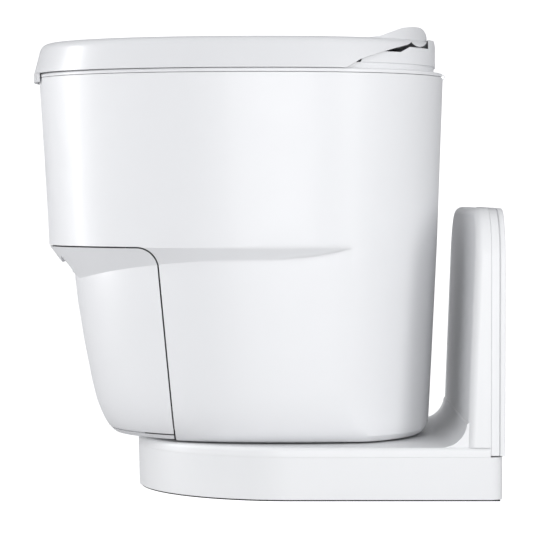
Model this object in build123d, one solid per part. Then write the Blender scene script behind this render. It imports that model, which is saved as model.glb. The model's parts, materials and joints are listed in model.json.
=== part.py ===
from build123d import *
import math
import os

# A mobile sealing toilet on a floor and wall adapter, in millimetres.
# The origin lies on the floor under the swivel axis. +Z is up, -X is the front and +X is the wall side.
# The toilet turns on the adapter, its front door is the face of a drawer that holds the waste bin,
# the top unit swings up at the rear so that film can be loaded, and the lid hinges on the top unit.

os.makedirs("parts", exist_ok=True)

# Overall heights
BOX_TOP = 46.0
COVER_TOP = 56.0
BODY_BOTTOM = 58.0
CHIN_Z = 264.0
BODY_TOP = 446.5
UPRIGHT_TOP = 305.0

# Clearances
SEAT_GAP = 0.3
RUN_GAP = 0.05
SEAM = 1.5
FIT_GAP = 0.2

# Plan of the toilet at its rim, and the powers of its rounded outline
RIM_FRONT = 251.0
RIM_SIDE = 193.0
RIM_REAR = 194.5
FRONT_POWER = 2.1
REAR_POWER = 2.3
OUTLINE_STEPS = 6

# Toilet housing
WALL = 3.5
CHIN_FRONT = 240.0
CHIN_SIDE = 187.0
CHIN_REAR = 188.4
SHOULDER_DEPTH = 62.0
SHOULDER_SLOPE = 0.74
SHOULDER_OVER = 4.0
SHOULDER_PROUD = 0.3
FOOT_REAR = 179.5
FOOT_SIDE = 178.0
TOP_FLANGE = 3.5

# Height and how far the foot's rounding draws in there
FOOT_STATIONS = [(58.0, 11.0), (60.5, 6.5), (64.5, 2.6), (70.0, 0.6), (76.0, 0.0)]

# Height, front reach and half width of the lower housing, from its rounded foot to the chin
LOWER_STATIONS = [
    (58.0, 165.5, 148.0),
    (61.0, 169.5, 155.0),
    (66.0, 174.5, 161.0),
    (73.0, 179.0, 165.5),
    (82.0, 183.2, 168.8),
    (94.0, 187.8, 171.2),
    (114.0, 192.8, 172.8),
    (158.0, 201.4, 174.6),
    (202.0, 208.6, 176.2),
    (228.0, 211.6, 177.2),
    (264.0, 212.6, 178.4),
]
LOWER_REAR = 215.0
LOWER_REAR_POWER = 2.6

# Flat facet under the chin, and the finger grip cut up into it
FACET_HALF = 60.0
FACET_X = -212.0
FACET_Z = 235.7
FACET_ANGLE = 39.4
GRIP_HALF = 52.0
GRIP_FRONT = -223.6
GRIP_MOUTH = 12.0
GRIP_TOP = 258.5
GRIP_WALL = 2.4

# Front door
CHIN_CUT = CHIN_Z + 0.4
DOOR_TOP = CHIN_CUT - SEAM
DOOR_BOTTOM = 65.5
DOOR_TOP_X = -116.6
DOOR_FOOT_X = -98.0
DOOR_CORNER = 22.0
DOOR_WALL = 3.0

# Base box and its cover
BOX_CENTRE = 25.0
BOX_NOSE = 141.8
BOX_HALF = 188.0
BOX_REAR = 246.4
BOX_DRAFT = 1.3
BOX_REAR_ROUND = 14.0
MAT_THICK = 1.5
MAT_INSET = 3.0
COVER_EDGE = 4.0
UPRIGHT_FOOT_X = 209.0
UPRIGHT_TOP_X = 218.5
UPRIGHT_FILLET = 27.0
UPRIGHT_CORNER = 52.0
UPRIGHT_EDGE = 9.0
COVER_REAR = 233.4
SPACER_REAR = 242.8
PLATE_REAR = 248.5
LAYER_FOOT = 47.5
LAYER_INSET = 1.2
COVER_WALL = 4.0

# Swivel
HUB_FLANGE_R = 36.0
HUB_R = 24.0
HUB_NUT_R = 34.0
HUB_NUT_THICK = 4.0
PAN_THICK = 3.0
SLIDE_RING_IN = 60.0
SLIDE_RING_OUT = 78.0

# Bowl and film
BOWL_X = -72.0
WELL_LONG = 152.0
WELL_WIDE = 138.0
WELL_FLOOR = 405.0
FUNNEL_WALL = 2.5
FUNNEL_RIM = 5.0
BOWL_LONG = 126.0
BOWL_WIDE = 101.0
OUTLET_LONG = 24.0
OUTLET_WIDE = 72.0
OUTLET_Z = 306.0
FILM_HALF = 0.6
FILM_WALL = 0.9
CARTRIDGE_TOP = 440.0

# Sealing unit
DECK_Z = 294.0
DECK_THICK = 4.0
CHEEK_HALF = 104.0
CHEEK_THICK = 4.0
FRAME_LONG = 156.0
FRAME_FOOT = 226.0
ROD_R = 4.0
ROD_Y = 88.0
ROD_Z = 238.0
SCREW_Z = 256.0
JAW_HALF = 97.0
JAW_THICK = 18.0
JAW_LOW = 229.0
JAW_HIGH = 247.0
JAW_STROKE = 17.5
JAW_REST_GAP = 18.5
PAD_THICK = 1.6
ROLLER_R = 8.0
ROLLER_Z = 276.0
JOURNAL_R = 3.0

# Bin drawer
TRAY_Z = 67.0
TRAY_THICK = 2.5
TRAY_HALF = 99.0
TRAY_FRONT = -168.0
TRAY_REAR = 62.0
SILL_LOW = 59.5
SILL_HIGH = 64.0
RUNNER_OUT = 105.7
RUNNER_LOW = 70.0
RUNNER_HIGH = 79.7
RUNNER_FRONT = -106.0
RUNNER_REAR = 118.0
RAIL_WEB = 106.0
RAIL_THICK = 3.0
RAIL_FRONT = -90.0
RAIL_REAR = 124.0
BIN_TOP = 205.0
BIN_HALF = 94.0
BIN_FRONT = -146.0
BIN_REAR = 56.0
BIN_WALL = 2.0
BIN_ROUND = 30.0

# Top unit: ring, seat and console
RING_LOW = 447.0
FLANGE_TOP = 451.0
DECK_TOP = 458.0
RING_INSET = 10.0
RING_WALL = 3.5
RING_OPEN_LONG = 124.0
RING_OPEN_WIDE = 100.0
SEAT_LOW = 460.0
SEAT_TOP = 474.0
SEAT_INSET = 13.0
SEAT_REAR = 86.0
SEAT_OPEN_LONG = 112.0
SEAT_OPEN_WIDE = 92.0
SEAT_X = -80.0
SEAT_ROUND = 6.0
SEAT_CORNER = 20.0
CONSOLE_FRONT = 98.0
CONSOLE_SHELF = 470.0
CONSOLE_BACK = 476.0
CONSOLE_CREST = 486.0
CONSOLE_WALL = 3.0
PANEL_X = 124.0
PANEL_LONG = 30.0
PANEL_HALF = 52.0
PANEL_THICK = 1.2
BUTTON_R = 8.0
BUTTON_Y = -28.0
BUTTON_PROUD = 2.4
BUTTON_DEEP = 6.0
WINDOW_R = 3.0

# Hinge between the top unit and the housing
FRAME_AXIS_X = 191.5
FRAME_AXIS_Z = RING_LOW
KNUCKLE_R = 3.2
KNUCKLE_CLEAR = 0.4
FRAME_PIN_R = 1.5
RING_KNUCKLE = (18.0, 29.0)
BODY_KNUCKLE = (29.7, 43.0)

# Lid
LID_LOW = 451.4
LID_TOP = 484.5
LID_FRONT = 256.5
LID_SIDE = 195.0
LID_REAR = 196.0
LID_LEAN = 8.6
LID_ROUND = 11.0
LID_WALL = 3.0
LID_AXIS_X = 162.5
LID_AXIS_Z = 487.6
LID_BARREL_R = 10.8
LID_PIN_R = 3.0
LID_KNUCKLE_HALF = 38.0
LIP_HALF = 46.0
LIP_LOW = 442.0
LIP_THICK = 3.6

# Fixings
FLOOR_BOLTS = (-60.0, 200.0, 130.0)
FLOOR_BOLT_R = 4.5
FLOOR_WELL_R = 11.0
FLOOR_WELL_Z = 12.0
WALL_BOLT_Y = 120.0
WALL_BOLT_LOW = 110.0
WALL_BOLT_HIGH = 250.0
WALL_BOLT_R = 3.5
WALL_BOLT_HEAD_R = 9.0
RIB_LINES = (-120.0, -60.0, 0.0, 60.0, 120.0)
RIB_TOP = 240.0
INLET_X = 200.0
INLET_Z = 24.0
INLET_R = 9.0
INLET_DEEP = 16.0
INLET_LIP = 1.6
HUB_BORE_R = 12.0
DECK_BOSSES = [(0.0, 177.5), (162.0, 86.0)]
BOSS_R = 9.0
BOSS_DEEP = 24.0
DECK_SCREW_R = 2.5
FRAME_PIN_SPAN = (17.0, 45.0)

# Details of the drawer
BRACKET_X = -130.0
BRACKET_TOP = 118.0
TRAY_WALL_TOP = 92.0

# Details of the bowl and the sealing unit
FUNNEL_RIM_THICK = 2.0
COLLAR_TOP = 436.0
FILM_FLAT_Z = 286.0
FILM_END_Z = 214.0
FILM_LAP_LONG = 138.0
FILM_LAP_WIDE = 113.0
FILM_CLEAR = 0.4
CAGE_WINDOW = 76.0
PAD_HALF = 78.0
ROLLER_HALF = 94.0
ROLLER_GROOVES = 3
GROOVE_PITCH = 24.0
MOTOR_R = 17.0
MOTOR_LONG = 46.0
FEED_MOTOR_R = 12.0
CONTROL_X0 = 98.0
CONTROL_X1 = 150.0
CONTROL_HALF = 56.0
CONTROL_HIGH = 40.0

# Details of the top unit and the lid
CONSOLE_REAR = 186.0
CONSOLE_CREST_X = 174.0
CONSOLE_HOLLOW = 60.0
LID_CLEAR = 0.6
LID_PIN_HALF = 84.0
BOARD_TOP = 463.0
SEAT_FEET = [(-205.0, 70.0), (55.0, 130.0)]
LID_FEET = [(-195.0, 80.0), (60.0, 125.0)]
HUMP_X = 106.0
LID_CUT_X = 83.0
LID_SOLID_X = 138.0
LINER_THICK = 2.2
LINER_INSET = 20.0
LINER_REAR = 78.0


def outline(front, side, rear, z, inset=0.0, front_power=FRONT_POWER, rear_power=REAR_POWER):
    """A closed rounded outline at height z, widest at X = 0, drawn in by inset."""
    points = []
    for step in range(4 * OUTLINE_STEPS):
        angle = math.pi / 2 * step / OUTLINE_STEPS
        c = math.cos(angle)
        s = math.sin(angle)
        power = rear_power if c >= 0 else front_power
        reach = rear - inset if c >= 0 else front - inset
        x = math.copysign(reach * abs(c) ** (2 / power), c)
        y = math.copysign((side - inset) * abs(s) ** (2 / power), s)
        points.append((x, y))
    return Pos(0, 0, z) * make_face(Spline(*points, periodic=True))


def plate(face, thick):
    """A face at its own height, made thick upwards."""
    return extrude(face, amount=thick, dir=(0, 0, 1))


def block(x0, x1, y0, y1, z0, z1):
    """A box between two corners."""
    return Pos((x0 + x1) / 2, (y0 + y1) / 2, (z0 + z1) / 2) * Box(x1 - x0, y1 - y0, z1 - z0)


def upright_disc(radius, x, y, z0, z1):
    """A vertical cylinder between two heights."""
    return Pos(x, y, (z0 + z1) / 2) * Cylinder(radius, z1 - z0)


def cross_bar(radius, x, z, y0, y1):
    """A cylinder along Y."""
    return Pos(x, (y0 + y1) / 2, z) * Rot(90, 0, 0) * Cylinder(radius, y1 - y0)


def long_bar(radius, y, z, x0, x1):
    """A cylinder along X."""
    return Pos((x0 + x1) / 2, y, z) * Rot(0, 90, 0) * Cylinder(radius, x1 - x0)


def side_prism(points, half):
    """A side view polygon in X and Z, extruded across the whole width."""
    face = make_face(Polyline(*[(x, 0, z) for x, z in points], close=True))
    return extrude(face, amount=half, dir=(0, 1, 0), both=True)


def mirrored(solids):
    """The given solids and their mirror images across the centre plane."""
    return solids + [mirror(solid, about=Plane.XZ) for solid in solids]


def save(shape, name):
    """Write one piece under its node's name."""
    export_step(shape, "parts/" + name + ".step")


def envelope(inset, top):
    """The outer envelope of the whole housing, rounded at its foot."""
    faces = []
    for z, drawn in FOOT_STATIONS:
        faces.append(outline(CHIN_FRONT, FOOT_SIDE - drawn, FOOT_REAR - drawn, z, inset))
    faces.append(outline(CHIN_FRONT, CHIN_SIDE, CHIN_REAR, CHIN_Z, inset))
    share = (top - CHIN_Z) / (BODY_TOP - CHIN_Z)
    front = CHIN_FRONT + (RIM_FRONT - CHIN_FRONT) * share
    side = CHIN_SIDE + (RIM_SIDE - CHIN_SIDE) * share
    rear = CHIN_REAR + (RIM_REAR - CHIN_REAR) * share
    faces.append(outline(front, side, rear, top, inset))
    return loft(faces, ruled=True)


def lower_form(inset):
    """The slimmer lower housing, which narrows forwards and to its foot."""
    faces = []
    for z, front, side in LOWER_STATIONS:
        faces.append(outline(front, side, LOWER_REAR, z, inset, rear_power=LOWER_REAR_POWER))
    return loft(faces, ruled=True)


def facet_cut():
    """The space below the flat facet in the middle of the shoulder."""
    rise = math.tan(math.radians(FACET_ANGLE))
    reach = 40.0
    points = [
        (FACET_X - reach, FACET_Z + reach * rise),
        (FACET_X + reach, FACET_Z - reach * rise),
        (FACET_X - reach, FACET_Z - reach * rise),
    ]
    return side_prism(points, FACET_HALF)


def shoulder_form(inset):
    """The sloping shoulder between the chin and the lower housing."""
    over = SHOULDER_OVER * SHOULDER_SLOPE + SHOULDER_PROUD
    top = outline(CHIN_FRONT, CHIN_SIDE, CHIN_REAR, CHIN_Z + SHOULDER_OVER, inset - over)
    drawn = SHOULDER_DEPTH * SHOULDER_SLOPE - SHOULDER_PROUD
    foot = outline(CHIN_FRONT, CHIN_SIDE, CHIN_REAR, CHIN_Z - SHOULDER_DEPTH, inset + drawn)
    shift = Pos(inset, 0, inset)
    return loft([foot, top], ruled=True) - shift * facet_cut()


def housing(inset, top):
    """The housing's whole form, drawn in by inset, up to a given top."""
    form = lower_form(inset) + shoulder_form(inset)
    form += block(-RIM_FRONT - 30, LOWER_REAR + 30, -RIM_SIDE - 30, RIM_SIDE + 30, CHIN_Z, BODY_TOP + 10)
    return envelope(inset, top) & form


def door_profile(grow):
    """The side view of the space that the front door fills."""
    slope = (DOOR_TOP_X - DOOR_FOOT_X) / (DOOR_TOP - DOOR_BOTTOM)
    top = DOOR_TOP + grow
    low = DOOR_BOTTOM - grow
    foot_x = DOOR_FOOT_X + grow
    top_x = DOOR_TOP_X + grow
    if grow > 0:
        low = BODY_BOTTOM - 5.0
        foot_x = DOOR_FOOT_X + grow + slope * (low - DOOR_BOTTOM)
    prism = side_prism([(-300, low), (foot_x, low), (top_x, top), (-300, top)], 220.0)
    corner = prism.edges().filter_by(Axis.Y).sort_by(Axis.Z)[-2:].sort_by(Axis.X)[-1]
    return fillet(corner, DOOR_CORNER + grow)


def oval(long, wide, z, x=BOWL_X):
    """An oval face over the bowl's axis."""
    return (Pos(x, 0, z) * Ellipse(long, wide)).face()


def oval_plate(long, wide, z0, z1, x=BOWL_X):
    """An oval disc between two heights."""
    return plate(oval(long, wide, z0, x), z1 - z0)


def box_outline(grow, z, reach=BOX_REAR):
    """The plan of the base box: a half ellipse at the front and straight sides."""
    nose = BOX_CENTRE + BOX_NOSE + grow
    half = BOX_HALF + grow
    arc = EllipticalCenterArc((BOX_CENTRE, 0), nose, half, 90, arc_size=180)
    sides = Polyline((BOX_CENTRE, -half), (reach, -half), (reach, half), (BOX_CENTRE, half))
    return Pos(0, 0, z) * make_face([arc, sides])


def bolt_spots(x0, x1, y):
    """Four places on a rectangle symmetric about the centre plane."""
    return [(x, side * y) for x in (x0, x1) for side in (-1, 1)]


def make_base_box():
    """The floor box under the toilet, with its bolt wells."""
    box = loft([box_outline(-BOX_DRAFT, MAT_THICK), box_outline(0.0, BOX_TOP)], ruled=True)
    rear = box.edges().group_by(Axis.X)[-1].filter_by(lambda e: abs(e.tangent_at(0.5).Z) > 0.7)
    box = fillet(rear, BOX_REAR_ROUND)
    for x, y in bolt_spots(*FLOOR_BOLTS):
        box -= upright_disc(FLOOR_BOLT_R, x, y, 0, BOX_TOP)
        box -= upright_disc(FLOOR_WELL_R, x, y, FLOOR_WELL_Z, BOX_TOP)
    box -= Pos(INLET_X, BOX_HALF, INLET_Z) * Rot(90, 0, 0) * Cylinder(INLET_R, 2 * INLET_DEEP)
    return box


def make_floor_mat():
    """The thin mat that the box stands on."""
    mat = plate(box_outline(-MAT_INSET, 0.0, BOX_REAR - MAT_INSET), MAT_THICK)
    for x, y in bolt_spots(*FLOOR_BOLTS):
        mat -= upright_disc(FLOOR_BOLT_R, x, y, 0, MAT_THICK)
    return mat


def upright_front(grow, top):
    """The front line of the upright, which leans back, with its fillet to the cover."""
    lean = (UPRIGHT_TOP_X - UPRIGHT_FOOT_X) / (UPRIGHT_TOP - COVER_TOP)
    return [(UPRIGHT_FOOT_X + grow, COVER_TOP), (UPRIGHT_FOOT_X + grow + lean * (top - COVER_TOP), top)]


def arch(x0, x1, grow, low):
    """The upright's outline seen from the front, between two X planes."""
    half = BOX_HALF + grow
    top = UPRIGHT_TOP + grow
    body = block(x0, x1, -half, half, low, top)
    corners = body.edges().filter_by(Axis.X).group_by(Axis.Z)[-1]
    return fillet(corners, UPRIGHT_CORNER)


def make_base_cover():
    """The L-shaped cover over the box and up the back."""
    slab = plate(box_outline(0.0, BOX_TOP, COVER_REAR), COVER_TOP - BOX_TOP)
    top_ring = slab.faces().sort_by(Axis.Z)[-1].edges()
    front = top_ring.sort_by(Axis.X)[:-1]
    slab = fillet(front, COVER_EDGE)
    line = upright_front(0.0, UPRIGHT_TOP + 1)
    wedge = side_prism([line[0], (COVER_REAR, COVER_TOP), (COVER_REAR, UPRIGHT_TOP + 1), line[1]], BOX_HALF)
    tower = wedge & arch(UPRIGHT_FOOT_X - 1, COVER_REAR, 0.0, COVER_TOP)
    rim = tower.faces().sort_by(Axis.X)[0].edges()
    tower = fillet(rim.sort_by(Axis.Z)[1:], UPRIGHT_EDGE)
    corner = side_prism([
        (UPRIGHT_FOOT_X - UPRIGHT_FILLET, COVER_TOP),
        (UPRIGHT_FOOT_X + 3.0, COVER_TOP),
        (UPRIGHT_FOOT_X + 3.0, COVER_TOP + UPRIGHT_FILLET),
    ], BOX_HALF - COVER_EDGE)
    scoop = Pos(UPRIGHT_FOOT_X - UPRIGHT_FILLET, 0, COVER_TOP + UPRIGHT_FILLET)
    corner -= scoop * Rot(90, 0, 0) * Cylinder(UPRIGHT_FILLET, 2 * BOX_HALF)
    cover = slab + tower + corner
    inner = upright_front(COVER_WALL + 2.0, UPRIGHT_TOP - COVER_WALL)
    hollow = side_prism([
        inner[0],
        (COVER_REAR, COVER_TOP),
        (COVER_REAR, UPRIGHT_TOP - COVER_WALL),
        inner[1],
    ], BOX_HALF - 2 * COVER_WALL)
    hollow &= arch(UPRIGHT_FOOT_X - 1, COVER_REAR, -2 * COVER_WALL, COVER_TOP)
    cover -= hollow
    for y in RIB_LINES:
        rib = side_prism([inner[0], (COVER_REAR - 1, COVER_TOP), (COVER_REAR - 1, RIB_TOP), (inner[0][0] + 5, RIB_TOP)], 1.5)
        cover += Pos(0, y, 0) * rib
    return cover


def make_spacer():
    """The middle layer of the upright."""
    layer = arch(COVER_REAR, SPACER_REAR, -LAYER_INSET, LAYER_FOOT)
    layer = chamfer(layer.edges().filter_by(Axis.Z), 0.8)
    for y, z in wall_spots():
        layer -= long_bar(WALL_BOLT_HEAD_R, y, z, COVER_REAR, SPACER_REAR)
    return layer


def make_wall_plate():
    """The rear plate that is screwed to the wall."""
    layer = arch(SPACER_REAR, PLATE_REAR, 0.0, LAYER_FOOT)
    layer = chamfer(layer.edges().filter_by(Axis.Z), 0.8)
    for y, z in wall_spots():
        layer -= long_bar(WALL_BOLT_R, y, z, SPACER_REAR, PLATE_REAR)
    return layer


def wall_spots():
    """The four wall screw places in Y and Z."""
    return [(side * WALL_BOLT_Y, z) for z in (WALL_BOLT_LOW, WALL_BOLT_HIGH) for side in (-1, 1)]


def make_power_inlet():
    """The supply socket in the far side of the box."""
    face_y = BOX_HALF
    place = Pos(INLET_X, face_y, INLET_Z) * Rot(90, 0, 0)
    body = place * Pos(0, 0, INLET_DEEP / 2 - 0.5) * Cylinder(INLET_R - FIT_GAP, INLET_DEEP - 1.0)
    flange = place * Pos(0, 0, -INLET_LIP / 2) * Cylinder(INLET_R + 3.0, INLET_LIP)
    socket = place * Pos(0, 0, 4.0) * Cylinder(INLET_R - 3.5, 14.0)
    pin = place * Pos(0, 0, 7.5) * Cylinder(1.2, 9.0)
    return body + flange - socket + pin


def make_slide_ring():
    """The ring on the cover that the toilet turns on."""
    ring = upright_disc(SLIDE_RING_OUT, 0, 0, COVER_TOP, BODY_BOTTOM)
    return ring - upright_disc(SLIDE_RING_IN, 0, 0, COVER_TOP, BODY_BOTTOM)


def make_hub_post():
    """The fixed post that the toilet turns about."""
    post = upright_disc(HUB_FLANGE_R, 0, 0, COVER_TOP, BODY_BOTTOM)
    post += upright_disc(HUB_R, 0, 0, BODY_BOTTOM, BODY_BOTTOM + PAN_THICK + FIT_GAP)
    return post - upright_disc(HUB_BORE_R, 0, 0, COVER_TOP, TRAY_Z)


def make_hub_nut():
    """The disc that holds the floor pan down on its post."""
    low = BODY_BOTTOM + PAN_THICK + FIT_GAP
    nut = upright_disc(HUB_NUT_R, 0, 0, low, low + HUB_NUT_THICK)
    nut -= upright_disc(HUB_BORE_R, 0, 0, low, low + HUB_NUT_THICK)
    return chamfer(nut.faces().sort_by(Axis.Z)[-1].edges(), 0.8)


def make_chassis_pan():
    """The floor pan of the toilet."""
    slab = block(DOOR_FOOT_X + SEAM, 200, -200, 200, BODY_BOTTOM, BODY_BOTTOM + PAN_THICK)
    pan = slab & lower_form(WALL + FIT_GAP) & envelope(WALL + FIT_GAP, CHIN_Z)
    pan -= upright_disc(HUB_R + RUN_GAP, 0, 0, BODY_BOTTOM, BODY_BOTTOM + PAN_THICK)
    return pan


def make_body_shell(outer):
    """The moulded housing, open at the front for the drawer and at the top for the bowl."""
    behind = block(-300, 300, -240, 240, BODY_BOTTOM - 1, BODY_TOP + 1) - door_profile(SEAM)
    inner = housing(WALL, BODY_TOP - TOP_FLANGE)
    shell = (outer & behind) - (inner & behind)
    shell -= oval_plate(WELL_LONG, WELL_WIDE, BODY_TOP - 2 * TOP_FLANGE, BODY_TOP)
    for side in (-1, 1):
        for x, y in DECK_BOSSES:
            boss = upright_disc(BOSS_R, x, side * y, DECK_Z - BOSS_DEEP, DECK_Z)
            boss -= upright_disc(DECK_SCREW_R, x, side * y, DECK_Z - BOSS_DEEP, DECK_Z)
            shell += boss
    for side in (-1, 1):
        y0, y1 = sorted((side * BODY_KNUCKLE[0], side * BODY_KNUCKLE[1]))
        shell += cross_bar(KNUCKLE_R, FRAME_AXIS_X, FRAME_AXIS_Z, y0, y1)
        y0, y1 = sorted((side * (RING_KNUCKLE[0] - KNUCKLE_CLEAR), side * (RING_KNUCKLE[1] + KNUCKLE_CLEAR)))
        shell -= cross_bar(KNUCKLE_R + KNUCKLE_CLEAR, FRAME_AXIS_X, FRAME_AXIS_Z, y0, y1)
        y0, y1 = sorted((side * FRAME_PIN_SPAN[0], side * FRAME_PIN_SPAN[1]))
        shell -= cross_bar(FRAME_PIN_R + RUN_GAP, FRAME_AXIS_X, FRAME_AXIS_Z, y0, y1)
    return shell


def make_frame_pins():
    """The two pins that the top unit swings on."""
    pin = cross_bar(FRAME_PIN_R, FRAME_AXIS_X, FRAME_AXIS_Z, FRAME_PIN_SPAN[0], FRAME_PIN_SPAN[1])
    return Compound(mirrored([pin]))


def make_rails():
    """The pair of runners that the drawer slides in."""
    z0 = BODY_BOTTOM + PAN_THICK
    web = block(RAIL_FRONT, RAIL_REAR, RAIL_WEB, RAIL_WEB + RAIL_THICK, z0, RUNNER_HIGH + FIT_GAP + RAIL_THICK)
    foot = block(RAIL_FRONT, RAIL_REAR - 18, RAIL_WEB, RAIL_WEB + 9, z0, z0 + RAIL_THICK)
    low_lip = block(RAIL_FRONT, RAIL_REAR, TRAY_HALF + 1, RAIL_WEB, RUNNER_LOW - 3.2, RUNNER_LOW - FIT_GAP)
    top_z = RUNNER_HIGH + FIT_GAP
    top_lip = block(RAIL_FRONT, RAIL_REAR, TRAY_HALF + 1, RAIL_WEB, top_z, top_z + RAIL_THICK)
    return Compound(mirrored([web + foot + low_lip + top_lip]))


def make_door(outer):
    """The front door: a moulded skin with the grip under its chin."""
    space = door_profile(0.0)
    skin = (outer & space) - (housing(DOOR_WALL, BODY_TOP) & space)
    rear = GRIP_FRONT + GRIP_MOUTH
    pocket = block(GRIP_FRONT - GRIP_WALL, rear + GRIP_WALL, -GRIP_HALF - GRIP_WALL, GRIP_HALF + GRIP_WALL,
                   FACET_Z, GRIP_TOP + GRIP_WALL)
    skin += pocket & outer
    skin -= block(GRIP_FRONT, rear, -GRIP_HALF, GRIP_HALF, FACET_Z - 20, GRIP_TOP)
    return skin


def make_tray(outer):
    """The drawer's tray, with the sill that shows below the door."""
    inside = lower_form(DOOR_WALL + FIT_GAP)
    sill = outer & block(-300, DOOR_FOOT_X, -220, 220, SILL_LOW, SILL_HIGH)
    step = block(DOOR_FOOT_X - 8, DOOR_FOOT_X - 5, -TRAY_HALF, TRAY_HALF, SILL_HIGH, TRAY_Z + TRAY_THICK)
    floor = block(TRAY_FRONT, TRAY_REAR, -TRAY_HALF, TRAY_HALF, TRAY_Z, TRAY_Z + TRAY_THICK) & inside
    bracket_z = DOOR_BOTTOM + FIT_GAP
    bracket = inside & block(-300, BRACKET_X, -220, 220, SILL_HIGH, BRACKET_TOP)
    bracket -= lower_form(DOOR_WALL + FIT_GAP + TRAY_THICK)
    tray = sill + step + floor + bracket
    for side in (-1, 1):
        y0, y1 = sorted((side * (TRAY_HALF - TRAY_THICK), side * TRAY_HALF))
        tray += block(RUNNER_FRONT, TRAY_REAR, y0, y1, TRAY_Z, TRAY_WALL_TOP)
        y0, y1 = sorted((side * (TRAY_HALF - TRAY_THICK), side * RUNNER_OUT))
        tray += block(RUNNER_FRONT, RUNNER_REAR, y0, y1, RUNNER_LOW, RUNNER_HIGH)
    return tray


def rounded_box(x0, x1, half, z0, z1, radius):
    """A box with rounded upright corners."""
    body = block(x0, x1, -half, half, z0, z1)
    return fillet(body.edges().filter_by(Axis.Z), radius)


def make_bin():
    """The waste bin, open at the top, with a rolled rim."""
    low = TRAY_Z + TRAY_THICK
    body = rounded_box(BIN_FRONT, BIN_REAR, BIN_HALF, low, BIN_TOP, BIN_ROUND)
    inner = rounded_box(BIN_FRONT + BIN_WALL, BIN_REAR - BIN_WALL, BIN_HALF - BIN_WALL,
                        low + BIN_WALL, BIN_TOP, BIN_ROUND - BIN_WALL)
    return body - inner


def make_funnel():
    """The bowl: a well for the film magazine round a funnel that ends over the sealing unit."""
    out_long = WELL_LONG - SEAT_GAP
    out_wide = WELL_WIDE - SEAT_GAP
    rim_top = BODY_TOP + FUNNEL_RIM_THICK
    body = oval_plate(WELL_LONG + FUNNEL_RIM, WELL_WIDE + FUNNEL_RIM, BODY_TOP, rim_top)
    body += oval_plate(out_long, out_wide, WELL_FLOOR - FUNNEL_WALL, BODY_TOP)
    body -= oval_plate(out_long - FUNNEL_WALL, out_wide - FUNNEL_WALL, WELL_FLOOR, rim_top)
    body += oval_plate(BOWL_LONG, BOWL_WIDE, WELL_FLOOR, COLLAR_TOP)
    cone_top = oval(BOWL_LONG, BOWL_WIDE, WELL_FLOOR - FUNNEL_WALL)
    cone_low = oval(OUTLET_LONG + FUNNEL_WALL, OUTLET_WIDE + FUNNEL_WALL, OUTLET_Z)
    body += loft([cone_low, cone_top], ruled=True)
    inside_top = oval(BOWL_LONG - FUNNEL_WALL, BOWL_WIDE - FUNNEL_WALL, WELL_FLOOR)
    inside_low = oval(OUTLET_LONG, OUTLET_WIDE, OUTLET_Z)
    body -= loft([inside_low, inside_top], ruled=True)
    body -= oval_plate(BOWL_LONG - FUNNEL_WALL, BOWL_WIDE - FUNNEL_WALL, WELL_FLOOR, rim_top)
    return body


def make_cartridge():
    """The ring-shaped film magazine in its well."""
    long = WELL_LONG - SEAT_GAP - FUNNEL_WALL - SEAT_GAP
    wide = WELL_WIDE - SEAT_GAP - FUNNEL_WALL - SEAT_GAP
    ring = oval_plate(long, wide, WELL_FLOOR, CARTRIDGE_TOP)
    ring -= oval_plate(BOWL_LONG + SEAT_GAP, BOWL_WIDE + SEAT_GAP, WELL_FLOOR, CARTRIDGE_TOP)
    groove = oval_plate(long - 6, wide - 6, CARTRIDGE_TOP - 3, CARTRIDGE_TOP)
    groove -= oval_plate(long - 14, wide - 14, CARTRIDGE_TOP - 3, CARTRIDGE_TOP)
    return ring - groove


def film_form(inset, low):
    """The space that the film wraps inside the funnel, down to where it lies flat."""
    long = BOWL_LONG - FUNNEL_WALL - SEAT_GAP - inset
    wide = BOWL_WIDE - FUNNEL_WALL - SEAT_GAP - inset
    form = oval_plate(long, wide, WELL_FLOOR, CARTRIDGE_TOP + FILM_WALL)
    outlet = oval(OUTLET_LONG - SEAT_GAP - inset, OUTLET_WIDE - SEAT_GAP - inset, OUTLET_Z)
    form += loft([outlet, oval(long, wide, WELL_FLOOR)], ruled=True)
    flat = oval(FILM_HALF + (OUTLET_LONG - inset) * (low - FILM_FLAT_Z) / (OUTLET_Z - FILM_FLAT_Z),
                OUTLET_WIDE - SEAT_GAP - inset, low)
    return form + loft([flat, outlet], ruled=True)


def make_film():
    """The film sleeve: over the magazine, down the funnel and flat between rollers and jaws."""
    film = film_form(0.0, FILM_FLAT_Z)
    film -= film_form(FILM_WALL, FILM_FLAT_Z + 8)
    collar = oval_plate(FILM_LAP_LONG, FILM_LAP_WIDE, CARTRIDGE_TOP, CARTRIDGE_TOP + FILM_WALL)
    collar -= oval_plate(BOWL_LONG - FUNNEL_WALL - SEAT_GAP - FILM_WALL,
                         BOWL_WIDE - FUNNEL_WALL - SEAT_GAP - FILM_WALL, CARTRIDGE_TOP, CARTRIDGE_TOP + FILM_WALL)
    half = OUTLET_WIDE - SEAT_GAP
    tail = block(BOWL_X - FILM_HALF, BOWL_X + FILM_HALF, -half + 2, half - 2, FILM_END_Z, FILM_FLAT_Z + 1)
    return film + collar + tail


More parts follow.
